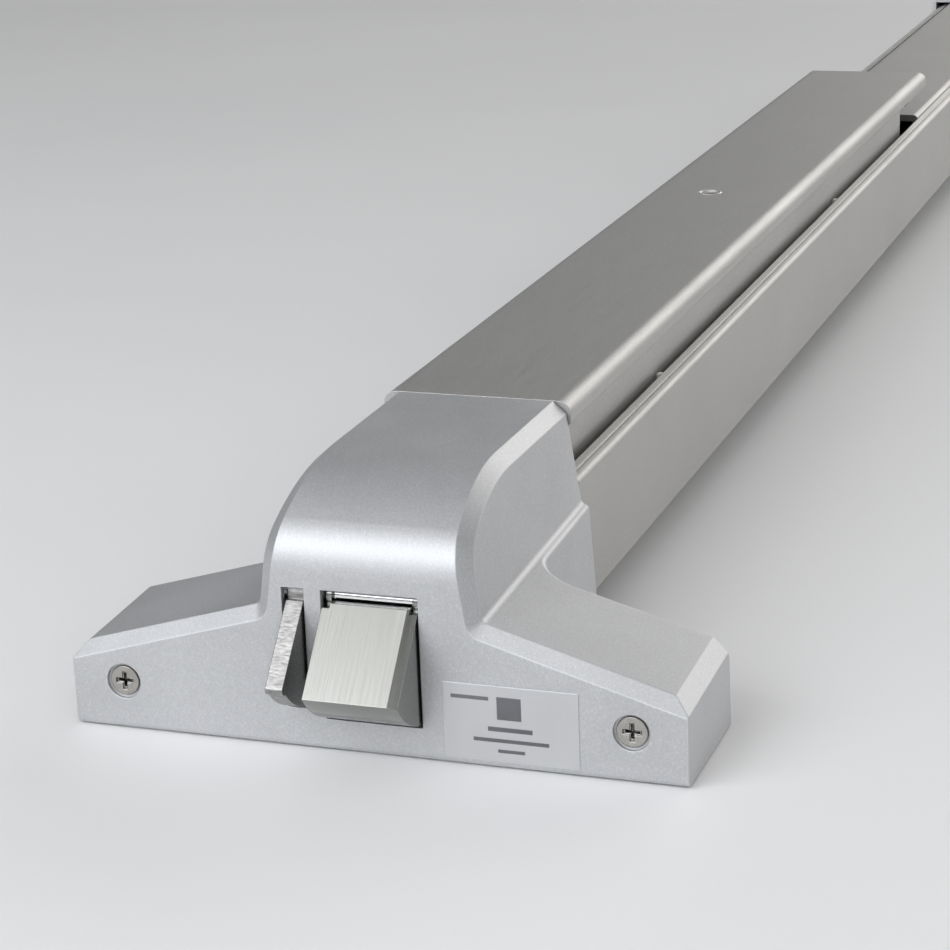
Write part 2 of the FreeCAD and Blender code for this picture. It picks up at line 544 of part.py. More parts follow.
LEDGE_OUT = "(rail_half - rail_corner * (1 - sin(ledge_slope)))"
LEDGE_Z = "(rail_top - rail_corner * (1 - cos(ledge_slope)))"
LEDGE_TOP = f"({LEDGE_Z} + ({LEDGE_OUT} - ledge_edge) * tan(ledge_slope))"


def rail_section():
    """Floor, two walls, and a ledge on each that slopes down to a rounded outer corner."""
    inner, floor = "rail_half - rail_wall", "rail_low + rail_wall"
    return symmetric([
        ("rail_half", "rail_low"), ("rail_half", "rail_top - rail_corner", "rail_corner", CCW),
        (LEDGE_OUT, LEDGE_Z), ("ledge_edge", LEDGE_TOP), ("ledge_edge", f"{LEDGE_TOP} - rail_wall"),
        (inner, "rail_top - rail_wall"), (inner, floor)])


def rivet_places():
    """Centres (X, Y) of every rivet through the rail's floor."""
    places = [(f"{station} {sign} {reach}", f"{side}rivet_half")
              for station in STATIONS.values()
              for sign, reach in (("-", "rivet_back"), ("+", "rivet_ahead"))
              for side in ("", "-")]
    return places + [(f"dog_place {sign} catch_rivet_reach", "catch_rivet_side") for sign in "+-"]


def rail_parts():
    floor = "rail_low + rail_wall"
    rail = Piece("rail")
    rail.add("X", f"{HEAD_BACK} + rail_joint_gap", "rail_end", rail_section())
    inner = "rail_half - rail_wall"
    rail.add("X", f"{FRONT} + tongue_start", f"{HEAD_BACK} + rail_joint_gap", symmetric([
        ("rail_half", "rail_low"), ("rail_half", "tongue_height"), (inner, "tongue_height"),
        (inner, floor)]))
    rail.cut("X", HEAD_BACK, f"rail_end + {PAST}", *both_sides("X", rect(
        "ledge_groove", "ledge_groove + ledge_groove_width",
        f"{LEDGE_TOP} - (ledge_groove - ledge_edge) * tan(ledge_slope) - ledge_groove_depth",
        f"{LEDGE_TOP} + {PAST}")))
    screws = [circle(place, "rail_screw_half", "rail_screw_radius + shank_gap")
              for place in (f"{FRONT} + rail_screw_place", "foot_screw_place")]
    rail.cut("Z", f"rail_low - {PAST}", f"{floor} + {PAST}", *both_sides("Z", *screws))
    rail.cut("Z", f"rail_low - {PAST}", f"{floor} + {PAST}",
             *[circle(x, y, "rivet_radius + rivet_gap") for x, y in rivet_places()])

    filler = Piece("filler_cover")
    top_low = "filler_top - filler_thick"
    filler.add("X", "filler_start", "filler_end", symmetric([
        ("filler_foot_half", "filler_foot_low"), ("filler_foot_half", "filler_foot_top"),
        ("filler_half", "filler_foot_top"), ("filler_half", "filler_top - filler_round",
                                             "filler_round", CCW),
        ("filler_half - filler_round", "filler_top")]) [:5] + [
        ("-(filler_half - filler_round)", "filler_top", "filler_round", CCW),
        ("-filler_half", "filler_top - filler_round"), ("-filler_half", "filler_foot_top"),
        ("-filler_foot_half", "filler_foot_top"), ("-filler_foot_half", "filler_foot_low"),
        ("-(filler_half - filler_leg)", "filler_foot_low"), ("-(filler_half - filler_leg)", top_low),
        ("filler_half - filler_leg", top_low), ("filler_half - filler_leg", "filler_foot_low")])

    head_size = ("pan_radius", floor, f"{floor} + pan_height")
    screws = Piece("rail_screws")
    places = [f"{FRONT} + rail_screw_place", "foot_screw_place"]
    screws.add("Z", f"{floor} - rail_screw_depth", floor, *both_sides(
        "Z", *[circle(x, "rail_screw_half", "rail_screw_radius") for x in places]))
    screws.add("Z", head_size[1], head_size[2], *both_sides(
        "Z", *[circle(x, "rail_screw_half", head_size[0]) for x in places]))
    screws.round("thread_gap * 10", lambda e: near(middle(e).z, number(head_size[2])))

    rivets = Piece("rail_rivets")
    rivets.add("Z", "rail_low", f"{floor} + base_thick",
               *[circle(x, y, "rivet_radius") for x, y in rivet_places()])
    rivets.add("Z", f"{floor} + base_thick", f"{floor} + base_thick + rivet_head_height",
               *[circle(x, y, "rivet_head_radius") for x, y in rivet_places()])
    head_top = number(f"{floor} + base_thick + rivet_head_height")
    rivets.round("rivet_head_height * 0.8", lambda e: near(middle(e).z, head_top))

    clips = Piece("guide_clips")
    under = [rect(f"{x} - clip_reach", f"{x} + clip_reach", "clip_inner", "clip_outer")
             for x in STATIONS.values()]
    lip = [rect(f"{x} - clip_lip_reach", f"{x} + clip_lip_reach", "clip_lip_inner", "clip_lip")
           for x in STATIONS.values()]
    clips.add("Z", "clip_low", "clip_shelf", *both_sides("Z", *under))
    clips.add("Z", "clip_shelf", "clip_top", *both_sides("Z", *lip))


def push_bar_parts():
    bar_piece = Piece("push_bar")
    inner = "skirt_half - skirt_wall"
    plate_low = "bar_top - bar_plate"
    half = [("skirt_half", "skirt_low"), ("skirt_half", "bead_low"),
            ("bead_half - bead_foot", "bead_low", "bead_foot", CCW), ("bead_half", "bead_low + bead_foot"),
            ("bead_half", "bar_top - bead_radius", "bead_radius", CCW),
            ("bead_half - bead_radius", "bar_top")]
    inside = [(inner, "skirt_low"), (inner, "lip_low"), ("lip_half", "lip_low"),
              ("lip_half", "lip_top"), (inner, "lip_top"), (inner, plate_low)]
    section = symmetric(half)
    bar_piece.add("X", "bar_start", "bar_end",
                  section + [(neg(u), v) for u, v in inside] + list(reversed(inside)))
    bar_piece.cut("X", "skirt_end", f"bar_end + {PAST}", *both_sides("X", rect(
        f"{inner} - {PAST}", "bead_half - bead_radius", f"skirt_low - {PAST}", "bead_low")))
    bar_piece.cut("Z", f"{plate_low} - {PAST}", f"bar_top + {PAST}",
                  circle("dog_place", "dog_side", "rim_outer"))

    for which, start in (("near", "plug_near_start"), ("far", "plug_far_start")):
        plug = Piece(f"push_bar_plug_{which}")
        plug.add("X", start, f"{start} + plug_length",
                 symmetric([("plug_half", "plug_low"), ("plug_half", "plug_top"),
                            ("plug_web_half", "plug_top"), ("plug_web_half", "plug_web_top")]))

    rim = Piece("dog_rim")
    rim.add("Z", "rim_low", "rim_step", circle("dog_place", "dog_side", "rim_flange"))
    rim.add("Z", "rim_step", "rim_high", circle("dog_place", "dog_side", "rim_outer"))
    rim.cut("Z", f"rim_low - {PAST}", f"rim_high + {PAST}",
            circle("dog_place", "dog_side", "rim_inner"))
    rim.bevel("torsion_wire", lambda e: near(middle(e).z, number("rim_high")))

    hub = Piece("dog_hub")
    hub.add("Z", "hub_low", "hub_high", circle("dog_place", "dog_side", "hub_radius"))
    hub.add("Z", "collar_low", "collar_high", circle("dog_place", "dog_side", "hub_collar"))
    hub.add("Z", "hook_low", "hub_low", rect("dog_place - hub_radius", "dog_place + hook_reach",
                                             "dog_side - hook_half", "dog_side + hook_half"))
    flats, corner = "key_flats / 2", "key_flats / sqrt(3)"
    hexagon = [(f"dog_place + {corner}", "dog_side"), (f"dog_place + {corner} / 2", f"dog_side + {flats}"),
               (f"dog_place - {corner} / 2", f"dog_side + {flats}"), (f"dog_place - {corner}", "dog_side"),
               (f"dog_place - {corner} / 2", f"dog_side - {flats}"),
               (f"dog_place + {corner} / 2", f"dog_side - {flats}")]
    hub.cut("Z", "hub_high - key_depth", f"hub_high + {PAST}", hexagon)

    catch = Piece("dog_catch")
    floor = "rail_low + rail_wall"
    low, high = "dog_place - catch_reach", "dog_place + catch_reach"
    catch.add("Z", floor, f"{floor} + base_thick", rect(low, high, "catch_foot_inner", "catch_wall_outer"))
    catch.add("Z", floor, "catch_lip_high", rect(low, high, "catch_wall_inner", "catch_wall_outer"))
    catch.add("Z", "catch_lip_low", "catch_lip_high",
              rect(low, high, "catch_lip_inner", "catch_wall_outer"))
    catch.cut("Z", f"{floor} - {PAST}", f"{floor} + base_thick + {PAST}",
              *[circle(f"dog_place {sign} catch_rivet_reach", "catch_rivet_side",
                       "rivet_radius + rivet_gap") for sign in "+-"])


def actuator(which, station):
    floor = "(rail_low + rail_wall)"
    deck = f"({floor} + base_thick)"
    base = Piece(f"actuator_base_{which}")
    base.add("Z", floor, deck, rect(f"{station} - base_back", f"{station} + base_ahead",
                                    "-base_half_width", "base_half_width"))
    post = [(f"{station} - post_reach", floor), (f"{station} + post_reach", floor),
            (f"{station} + post_reach", "crank_height"),
            (f"{station} + post_reach / 2", "post_top"), (f"{station} - post_reach / 2", "post_top"),
            (f"{station} - post_reach", "crank_height")]
    base.add("Y", "post_inner", "post_outer", post)
    base.add("Y", "-post_outer", "-post_inner", post)
    base.cut("Y", f"-post_outer - {PAST}", f"post_outer + {PAST}",
             circle(station, "crank_height", "crank_pin_radius"))
    base.cut("Z", f"{floor} - {PAST}", f"{deck} + {PAST}", *[
        circle(f"{station} {place}", f"{side}rivet_half", "rivet_radius + rivet_gap")
        for place in ("- rivet_back", "+ rivet_ahead") for side in ("", "-")])
    base.add("Z", f"{deck} - base_thick / 2", f"{deck} + seat_post_height",
             circle(f"{station} - spring_back", "spring_side", "guide_post_radius"))

    pin = Piece(f"crank_pin_{which}")
    pin.add("Y", "-crank_pin_half", "crank_pin_half",
            circle(station, "crank_height", "crank_pin_radius"))
    pin.add("Y", "post_outer", "crank_pin_half", circle(station, "crank_height", "crank_pin_head"))
    pin.add("Y", "-crank_pin_half", "-post_outer", circle(station, "crank_height", "crank_pin_head"))

    crank = Piece(f"bell_crank_{which}")
    link_angle = "(90 + crank_lead)"
    crank.add("Y", "-crank_half", "crank_half",
              bar(station, "crank_height", "crank_arm", "crank_lead", "arm_radius"))
    crank.add("Y", "-crank_half", "crank_half",
              bar(station, "crank_height", "link_arm", link_angle, "arm_radius"))
    crank.add("Y", "-crank_hub_half", "crank_hub_half",
              circle(station, "crank_height", "crank_hub_radius"))
    crank.add("Y", "-crank_half", "roller_reach",
              circle(f"{station} + crank_arm * cos(crank_lead)",
                     "crank_height + crank_arm * sin(crank_lead)", "roller_radius"))
    crank.add("Y", "-link_pin_reach", "0",
              circle(f"{station} + link_arm * cos{link_angle}",
                     f"crank_height + link_arm * sin{link_angle}", "link_pin_radius"))
    crank.cut("Y", f"-crank_hub_half - {PAST}", f"crank_hub_half + {PAST}",
              circle(station, "crank_height", "crank_pin_radius + crank_bore_gap"))

    bracket = Piece(f"pad_bracket_{which}")
    bracket.add("Z", "bracket_low", "bracket_high", rect(
        f"{station} - bracket_back", f"{station} + bracket_ahead", "-bracket_half", "bracket_half"))
    mid = "(bracket_low + bracket_high) / 2"
    fork = [(f"{station} + fork_near_low", "fork_low"), (f"{station} + fork_far_low", "fork_low"),
            (f"{station} + fork_far_high", mid), (f"{station} + fork_near_high", mid)]
    bracket.add("Y", "fork_inner", "fork_outer", fork)
    shift = "crank_arm * (1 - cos(crank_lead))"
    bracket.cut("Y", f"fork_inner - {PAST}", f"fork_outer + {PAST}",
                bar(f"({station} + crank_arm * cos(crank_lead))",
                    "(crank_height + crank_arm * sin(crank_lead))", shift, "0",
                    "(roller_radius + slot_gap)"))
    bracket.add("Z", "guide_post_low", mid,
                circle(f"{station} - spring_back", "spring_side", "guide_post_radius"))

    bumper = Piece(f"bumper_{which}")
    bumper.add("Z", deck, f"{deck} + bumper_height", rect(
        f"{station} + bumper_start", f"{station} + bumper_end", "-bumper_half", "bumper_half"))
    bumper.round("bumper_height / 4", lambda e: near(middle(e).z, number(f"{deck} + bumper_height")))

    low = f"{deck} + spring_wire + spring_seat_gap"
    height = f"(bracket_low - spring_wire - spring_seat_gap - ({low}))"
    coil(f"return_spring_{which}", "spring_mean", "spring_wire", f"{height} / spring_turns",
         "spring_turns", (f"{station} - spring_back", "spring_side", low))


def link_rod():
    rod = Piece("link_rod")
    tail = "station_far + link_arm * cos(90 + crank_lead) + link_tail"
    rod.add("Y", "-link_outer", "-link_inner", [
        (RETRACT_X, f"{EYE_Z} + eye_radius", "eye_radius", CCW),
        (f"{RETRACT_X} - eye_radius", EYE_Z, "eye_radius", CCW), (RETRACT_X, f"{EYE_Z} - eye_radius"),
        (f"{FRONT} + eye_neck", f"{EYE_Z} - eye_radius"), (f"{FRONT} + link_neck", "link_low"),
        (tail, "link_low"), (tail, "link_high"), (f"{FRONT} + link_neck", "link_high"),
        (f"{FRONT} + eye_neck", f"{EYE_Z} + eye_radius")])
    sag = "retract_arm * (1 - cos(retract_lead))"
    rod.cut("Y", f"-link_outer - {PAST}", f"{PAST} - link_inner",
            bar(RETRACT_X, f"({RETRACT_Z} - {sag})", sag, "90", "(retract_pin_radius + slot_gap)"))
    lift = "link_arm * (1 - cos(crank_lead))"
    for station in STATIONS.values():
        rod.cut("Y", f"-link_outer - {PAST}", f"{PAST} - link_inner",
                bar(f"({station} + link_arm * cos(90 + crank_lead))",
                    "(crank_height + link_arm * sin(90 + crank_lead))", lift, "90",
                    "(link_pin_radius + slot_gap)"))


def screws_along_x(label, half, height, face, inward):
    """Two cross-head screws driven along X from an end face, inward being +1 or -1."""
    def span(start, end):
        return sorted((f"{face} + {inward} * ({start})", f"{face} + {inward} * ({end})"), key=number)

    screws = Piece(label)
    head_start, head_end = "screw_sink", "screw_sink + recess_depth - screw_sink"
    screws.add("X", *span(head_start, head_end), *both_sides("X", circle(half, height, "screw_head_radius")))
    screws.add("X", *span(head_end, "screw_length"),
               *both_sides("X", circle(half, height, "cover_screw_radius")))
    rim = number(f"{face} + {inward} * ({head_start})")
    screws.round("thread_gap * 8", lambda e: near(middle(e).x, rim))
    for reach, width, depth in (("cross_mouth", "cross_mouth_half", "cross_step"),
                                ("cross_reach", "cross_half", "cross_depth")):
        for wide, tall in ((reach, width), (width, reach)):
            screws.cut("X", *span(f"{head_start} - {PAST}", f"{head_start} + {depth}"),
                       *both_sides("X", rect(f"{half} - {wide}", f"{half} + {wide}",
                                             f"{height} - {tall}", f"{height} + {tall}")))


def far_end():
    cap = Piece("end_cap")

    def cap_profile(inset="0"):
        corners, big, small = nose("cap_end", "cap_nose_length", "cap_nose_rise", "cap_nose_radius",
                                   "cap_top", inset)
        start, mid, end = corners
        if inset == "0":
            back, low = "cap_start", "0"
            foot = [("cap_end", "0")]
        else:
            back, low = f"cap_start - {PAST}", neg(PAST)
            foot = [(f"cap_end - {inset}", neg(PAST))]
        return [(back, low)] + foot + [end + (small, CCW), mid + (big, CCW), start,
                                       (back, f"cap_top - {inset}")]

    cap.add("Y", "-cap_half", "cap_half", cap_profile())
    half = number("cap_half")
    cap.bevel("cap_bevel", lambda e: near(abs(middle(e).y), half) and middle(e).z > 3
              and middle(e).x > number("cap_start + 1"))
    cap.cut("Y", "-cap_cavity_half", "cap_cavity_half", cap_profile("cover_wall"))
    screw = ("cap_screw_half", "cap_screw_height")
    cap.add("X", "cap_end - boss_depth", f"cap_end - {PAST}", *both_sides("X", circle(*screw, "boss_radius")))
    cap.cut("X", "cap_end - recess_depth", f"cap_end + {PAST}",
            *both_sides("X", circle(*screw, "recess_radius")))
    cap.cut("X", f"cap_end - boss_depth - {PAST}", f"cap_end + {PAST}",
            *both_sides("X", circle(*screw, "cover_screw_radius + shank_gap")))

    foot = Piece("end_bracket")
    foot.add("Z", "0", "plate", rect("foot_start", "foot_end", "-foot_plate_half", "foot_plate_half"))
    foot.add("Z", "plate / 2", "rail_low", *both_sides("Z", rect(
        "foot_start", "foot_rib_end", "rib_inner", "rib_outer")))
    foot.add("X", "tab_start", "tab_start + plate", rect("-tab_half", "tab_half", "plate / 2", "tab_top"))
    foot.cut("X", f"tab_start - {PAST}", f"tab_start + plate + {PAST}",
             *both_sides("X", circle(*screw, "cover_screw_radius + thread_gap")))
    foot.cut("Z", "plate", f"rail_low + {PAST}", *both_sides("Z", circle(
        "foot_screw_place", "rail_screw_half", "rail_screw_radius + thread_gap")))
    foot.cut("Z", neg(PAST), f"plate + {PAST}", *both_sides("Z", circle(
        "foot_hole_place", "foot_hole_half", "bolt_hole_radius")))


def rating_label():
    plate = Piece("rating_label")
    plate.add("X", f"{FRONT} - label_thick", FRONT,
              rect("-label_far", "-label_near", "label_low", "label_high"))


head_cover()
head_chassis()
latch_parts()
along_pin = FreeCAD.Rotation(FreeCAD.Vector(1, 0, 0), -90)
for spring, start, turns in (("latch_spring", "-bolt_coil_start", "bolt_coil_turns"),
                             ("dead_latch_spring", "lever_coil_start", "lever_coil_turns")):
    coil(spring, "torsion_mean", "torsion_wire", "torsion_pitch", turns,
         (PIN_X, start, "pin_height"), along_pin, legs=("0", f"torsion_pitch * {turns}"))
rail_parts()
push_bar_parts()
for which, station in STATIONS.items():
    actuator(which, station)
link_rod()
screws_along_x("cover_screws", "cover_screw_half", "cover_screw_height", FRONT, 1)
screws_along_x("end_cap_screws", "cap_screw_half", "cap_screw_height", "cap_end", -1)
far_end()
rating_label()
doc.recompute()

for obj in doc.Objects:
    if {"Invalid", "Error"} & set(obj.State):
        raise RuntimeError(f"{obj.Name} ({obj.Label}) did not compute: {obj.State}")
    if obj.TypeId == "PartDesign::Pocket" and obj.Shape.Volume >= obj.BaseFeature.Shape.Volume - 0.01:
        raise RuntimeError(f"{obj.Name} cuts nothing")

os.makedirs("parts", exist_ok=True)
for piece in pieces:
    if piece.Shape.isNull() or not piece.Shape.isValid():
        raise RuntimeError(f"{piece.Label} has no valid shape")
    piece.Shape.exportStep(f"parts/{piece.Label}.step")
    print(f"{piece.Label}: {len(piece.Shape.Solids)} solid(s), {piece.Shape.Volume / 1000:.2f} cm3")
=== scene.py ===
"""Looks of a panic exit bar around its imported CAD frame: materials, small details, light and camera."""

import json
import math

import bmesh
import bpy
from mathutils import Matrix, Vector


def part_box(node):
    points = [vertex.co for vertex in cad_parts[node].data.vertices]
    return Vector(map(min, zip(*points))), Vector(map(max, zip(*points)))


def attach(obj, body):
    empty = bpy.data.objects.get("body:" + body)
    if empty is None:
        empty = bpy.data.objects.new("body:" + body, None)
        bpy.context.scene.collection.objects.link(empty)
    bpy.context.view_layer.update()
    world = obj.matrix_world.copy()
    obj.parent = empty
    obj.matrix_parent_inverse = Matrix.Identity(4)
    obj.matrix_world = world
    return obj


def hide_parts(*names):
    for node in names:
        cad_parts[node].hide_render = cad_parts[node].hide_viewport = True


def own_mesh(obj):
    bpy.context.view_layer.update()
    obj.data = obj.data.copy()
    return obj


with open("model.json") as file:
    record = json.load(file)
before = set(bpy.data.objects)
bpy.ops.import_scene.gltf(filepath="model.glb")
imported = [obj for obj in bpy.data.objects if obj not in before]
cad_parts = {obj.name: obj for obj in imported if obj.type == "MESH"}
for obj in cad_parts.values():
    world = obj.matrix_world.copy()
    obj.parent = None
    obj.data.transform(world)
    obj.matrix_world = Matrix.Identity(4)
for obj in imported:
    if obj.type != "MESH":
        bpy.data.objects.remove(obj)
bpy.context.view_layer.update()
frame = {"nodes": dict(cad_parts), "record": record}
nodes = frame["nodes"]
scene = bpy.context.scene

MM = 0.001

# The floor fades out between these distances from its middle, in metres.
FADE_START, FADE_END = 1.7, 3.6
FLOOR_MIDDLE = (0.57, 0, -0.4 * MM)

# Sockets of the Mix node when it mixes colours.
MIX_FACTOR, MIX_FIRST, MIX_SECOND, MIX_RESULT = 0, 6, 7, 2

# How many rays the Bevel and Ambient Occlusion nodes send.
BEVEL_SAMPLES, HOLLOW_SAMPLES = 6, 12


# ---------------------------------------------------------------- material helpers

def shaded(colour, factor, lift=0.0):
    """A colour made darker or lighter, kept at or below white."""
    return tuple(min(1, factor * channel + lift) for channel in colour)


class Shader:
    """A node material built around one Principled shader, placed by object coordinates in metres."""

    def __init__(self, name, **inputs):
        self.material = bpy.data.materials.new(name)
        self.material.use_nodes = True
        self.tree = self.material.node_tree
        self.main = self.tree.nodes["Principled BSDF"]
        for key, value in inputs.items():
            self.main.inputs[key.replace("_", " ")].default_value = value
        self.place = self.node("ShaderNodeTexCoord").outputs["Object"]

    def node(self, kind, **settings):
        """A new node: a setting named like one of its inputs fills that input."""
        made = self.tree.nodes.new(kind)
        for key, value in settings.items():
            if key in made.inputs:
                made.inputs[key].default_value = value
            else:
                setattr(made, key, value)
        return made

    def link(self, output, target):
        self.tree.links.new(output, target)

    def noise(self, scale, detail=3, rough=0.5, stretch=(1, 1, 1)):
        mapping = self.node("ShaderNodeMapping")
        mapping.inputs["Scale"].default_value = stretch
        self.link(self.place, mapping.inputs["Vector"])
        made = self.node("ShaderNodeTexNoise", Scale=scale, Detail=detail, Roughness=rough)
        self.link(mapping.outputs["Vector"], made.inputs["Vector"])
        return made.outputs["Fac"]

    def span(self, value, from_low, from_high, to_low, to_high):
        """The value carried from one range to another, clamped at both ends."""
        made = self.node("ShaderNodeMapRange")
        ends = {"From Min": from_low, "From Max": from_high, "To Min": to_low, "To Max": to_high}
        for key, end in ends.items():
            made.inputs[key].default_value = end
        self.link(value, made.inputs["Value"])
        return made.outputs["Result"]

    def maths(self, operation, first, second):
        made = self.node("ShaderNodeMath", operation=operation)
        for socket, value in zip(made.inputs, (first, second)):
            if isinstance(value, (int, float)):
                socket.default_value = value
            else:
                self.link(value, socket)
        return made.outputs["Value"]

    def mix(self, factor, first, second):
        """The first colour where the factor is 0, and the second where it is 1."""
        made = self.node("ShaderNodeMix", data_type="RGBA")
        for index, value in ((MIX_FACTOR, factor), (MIX_FIRST, first), (MIX_SECOND, second)):
            socket = made.inputs[index]
            if isinstance(value, tuple):
                socket.default_value = (*value, 1)
            else:
                self.link(value, socket)
        return made.outputs[MIX_RESULT]

    def bevel_edge_mask(self, reach):
        """1 along edges and 0 elsewhere, from how far a bevelled normal turns away from the true one."""
        bevel = self.node("ShaderNodeBevel", Radius=reach, samples=BEVEL_SAMPLES)
        true_normal = self.node("ShaderNodeNewGeometry").outputs["Normal"]
        agreement = self.node("ShaderNodeVectorMath", operation="DOT_PRODUCT")
        self.link(bevel.outputs["Normal"], agreement.inputs[0])
        self.link(true_normal, agreement.inputs[1])
        return self.span(agreement.outputs["Value"], 0.999, 0.93, 0, 1)

    def edge_wear_and_highlight(self, base, reach, amount, colour):
        """The base colour lightened along the edges: partly wear, partly a painted highlight."""
        return self.mix(self.maths("MULTIPLY", self.bevel_edge_mask(reach), amount), base, colour)

    def bump(self, height, depth, strength, edge_radius):
        """Relief of a depth in metres over edges rounded to a radius."""
        made = self.node("ShaderNodeBump", Strength=strength, Distance=depth)
        self.link(height, made.inputs["Height"])
        bevel = self.node("ShaderNodeBevel", Radius=edge_radius, samples=BEVEL_SAMPLES)
        self.link(bevel.outputs["Normal"], made.inputs["Normal"])
        self.set(Normal=made.outputs["Normal"])

    def set(self, **outputs):
        for key, output in outputs.items():
            self.link(output, self.main.inputs[key.replace("_", " ")])


def head_paint():
    """Silver metallic enamel over a casting: fine flake sparkle, slight orange peel."""
    s = Shader("head_paint", Metallic=0.8, Coat_Weight=0.12, Coat_Roughness=0.3)
    cloud = s.noise(22, 4, 0.55)
    flake = s.noise(1800, 3, 0.6)
    peel = s.noise(620, 2, 0.5)
    base = s.mix(s.span(cloud, 0.35, 0.65, 0, 1), (0.56, 0.565, 0.577), (0.62, 0.625, 0.637))
    base = s.mix(s.span(flake, 0.52, 0.72, 0, 0.45), base, (0.82, 0.83, 0.85))
    base = s.mix(s.span(flake, 0.46, 0.28, 0, 0.4), base, (0.42, 0.425, 0.44))
    # Lighter edges: partly wear through the paint, partly a painted highlight.
    base = s.edge_wear_and_highlight(base, 0.9 * MM, 0.35, (0.78, 0.79, 0.80))
    s.set(Base_Color=base, Roughness=s.span(s.maths("ADD", cloud, flake), 0.7, 1.3, 0.51, 0.61))
    height = s.maths("ADD", s.maths("MULTIPLY", peel, 0.5), s.maths("MULTIPLY", flake, 0.5))
    s.bump(height, 0.09 * MM, 0.6, 0.6 * MM)
    return s.material


def brushed(name, dark, light, roughness, streak, depth, edge=0.4 * MM, spots=0.0):
    """Metal drawn or brushed into fine lines, which run along the axis of the smallest streak value."""
    s = Shader(name, Metallic=1.0)
    lines = s.noise(1, 4, 0.6, streak)
    cloud = s.noise(14, 4, 0.6)
    speck = s.noise(1500, 3, 0.6)
    base = s.mix(s.span(lines, 0.3, 0.7, 0, 1), dark, light)
    base = s.mix(s.span(cloud, 0.3, 0.7, 0, 0.35), base, shaded(dark, 0.86))
    # Lighter edges: partly wear, partly a painted highlight.
    base = s.edge_wear_and_highlight(base, edge, 0.4, shaded(light, 1.25))
    if spots:
        base = s.mix(s.span(speck, 0.48, 0.7, 0, spots), base, shaded(dark, 0.7))
        base = s.mix(s.span(speck, 0.5, 0.3, 0, spots), base, shaded(light, 1.25))
    mixed = s.maths("ADD", s.maths("MULTIPLY", lines, 0.7), s.maths("MULTIPLY", cloud, 0.3))
    s.set(Base_Color=base, Roughness=s.span(mixed, 0.3, 0.7, roughness - 0.05, roughness + 0.06))
    s.bump(s.maths("ADD", lines, s.maths("MULTIPLY", speck, 0.35)), depth, 0.7, edge)
    return s.material


def plated(name, dark, light, roughness, grain=90, depth=0.02 * MM, hollow_shade=0.0):
    """Plated or polished metal with a soft mottle, and painted shade darkening its hollows if asked for.
    """
    s = Shader(name, Metallic=1.0)
    edge = 0.3 * MM
    mottle, fine = s.noise(grain, 5, 0.6), s.noise(grain * 30, 2, 0.5)
    both = s.maths("ADD", mottle, fine)
    base = s.mix(s.span(mottle, 0.3, 0.7, 0, 1), dark, light)
    if hollow_shade:
        # Painted shade: darkens the colour where ambient occlusion finds a hollow.
        hollow = s.node("ShaderNodeAmbientOcclusion", Distance=2 * MM, samples=HOLLOW_SAMPLES)
        base = s.mix(s.span(hollow.outputs["AO"], 0.93, 0.6, 0, hollow_shade), base, shaded(dark, 0.3))
    # Lighter edges: partly wear, partly a painted highlight.
    base = s.edge_wear_and_highlight(base, edge, 0.5, (0.9, 0.89, 0.87))
    s.set(Base_Color=base, Roughness=s.span(both, 0.7, 1.3, roughness * 0.8, roughness * 1.25))
    s.bump(both, depth, 0.6, edge)
    return s.material


def moulded(name, dark, light, roughness, grain=900, depth=0.05 * MM, metallic=0.0):
    """Plastic, rubber or film with a fine grit and a faint cloud."""
    s = Shader(name, Metallic=metallic)
    grit, cloud = s.noise(grain, 3, 0.6), s.noise(60, 3, 0.5)
    base = s.mix(s.span(cloud, 0.3, 0.7, 0, 1), dark, light)
    # Lighter edges: partly wear, partly a painted highlight.
    base = s.edge_wear_and_highlight(base, 0.4 * MM, 0.4, shaded(light, 1.5, 0.03))
    s.set(Base_Color=base, Roughness=s.span(grit, 0.3, 0.7, roughness - 0.06, roughness + 0.08))
    s.bump(grit, depth, 0.7, 0.3 * MM)
    return s.material


def floor_paint():
    """Matt pale paint that fades into the backdrop away from the middle of the floor."""
    s = Shader("studio_floor", Roughness=0.55, Specular_IOR_Level=0.3)
    base = s.mix(s.span(s.noise(3), 0.3, 0.7, 0, 1), (0.85, 0.85, 0.855), (0.88, 0.88, 0.88))
    far = s.node("ShaderNodeVectorMath", operation="LENGTH")
    s.link(s.place, far.inputs[0])
    s.set(Base_Color=base, Alpha=s.span(far.outputs["Value"], FADE_END, FADE_START, 0, 1))
    return s.material


# ---------------------------------------------------------------- materials by the record's slots

# Streak values are how often the lines repeat along X, Y and Z, per metre.
EXTRUDED = {"streak": (60, 2400, 2400), "depth": 0.01 * MM, "spots": 0.25}

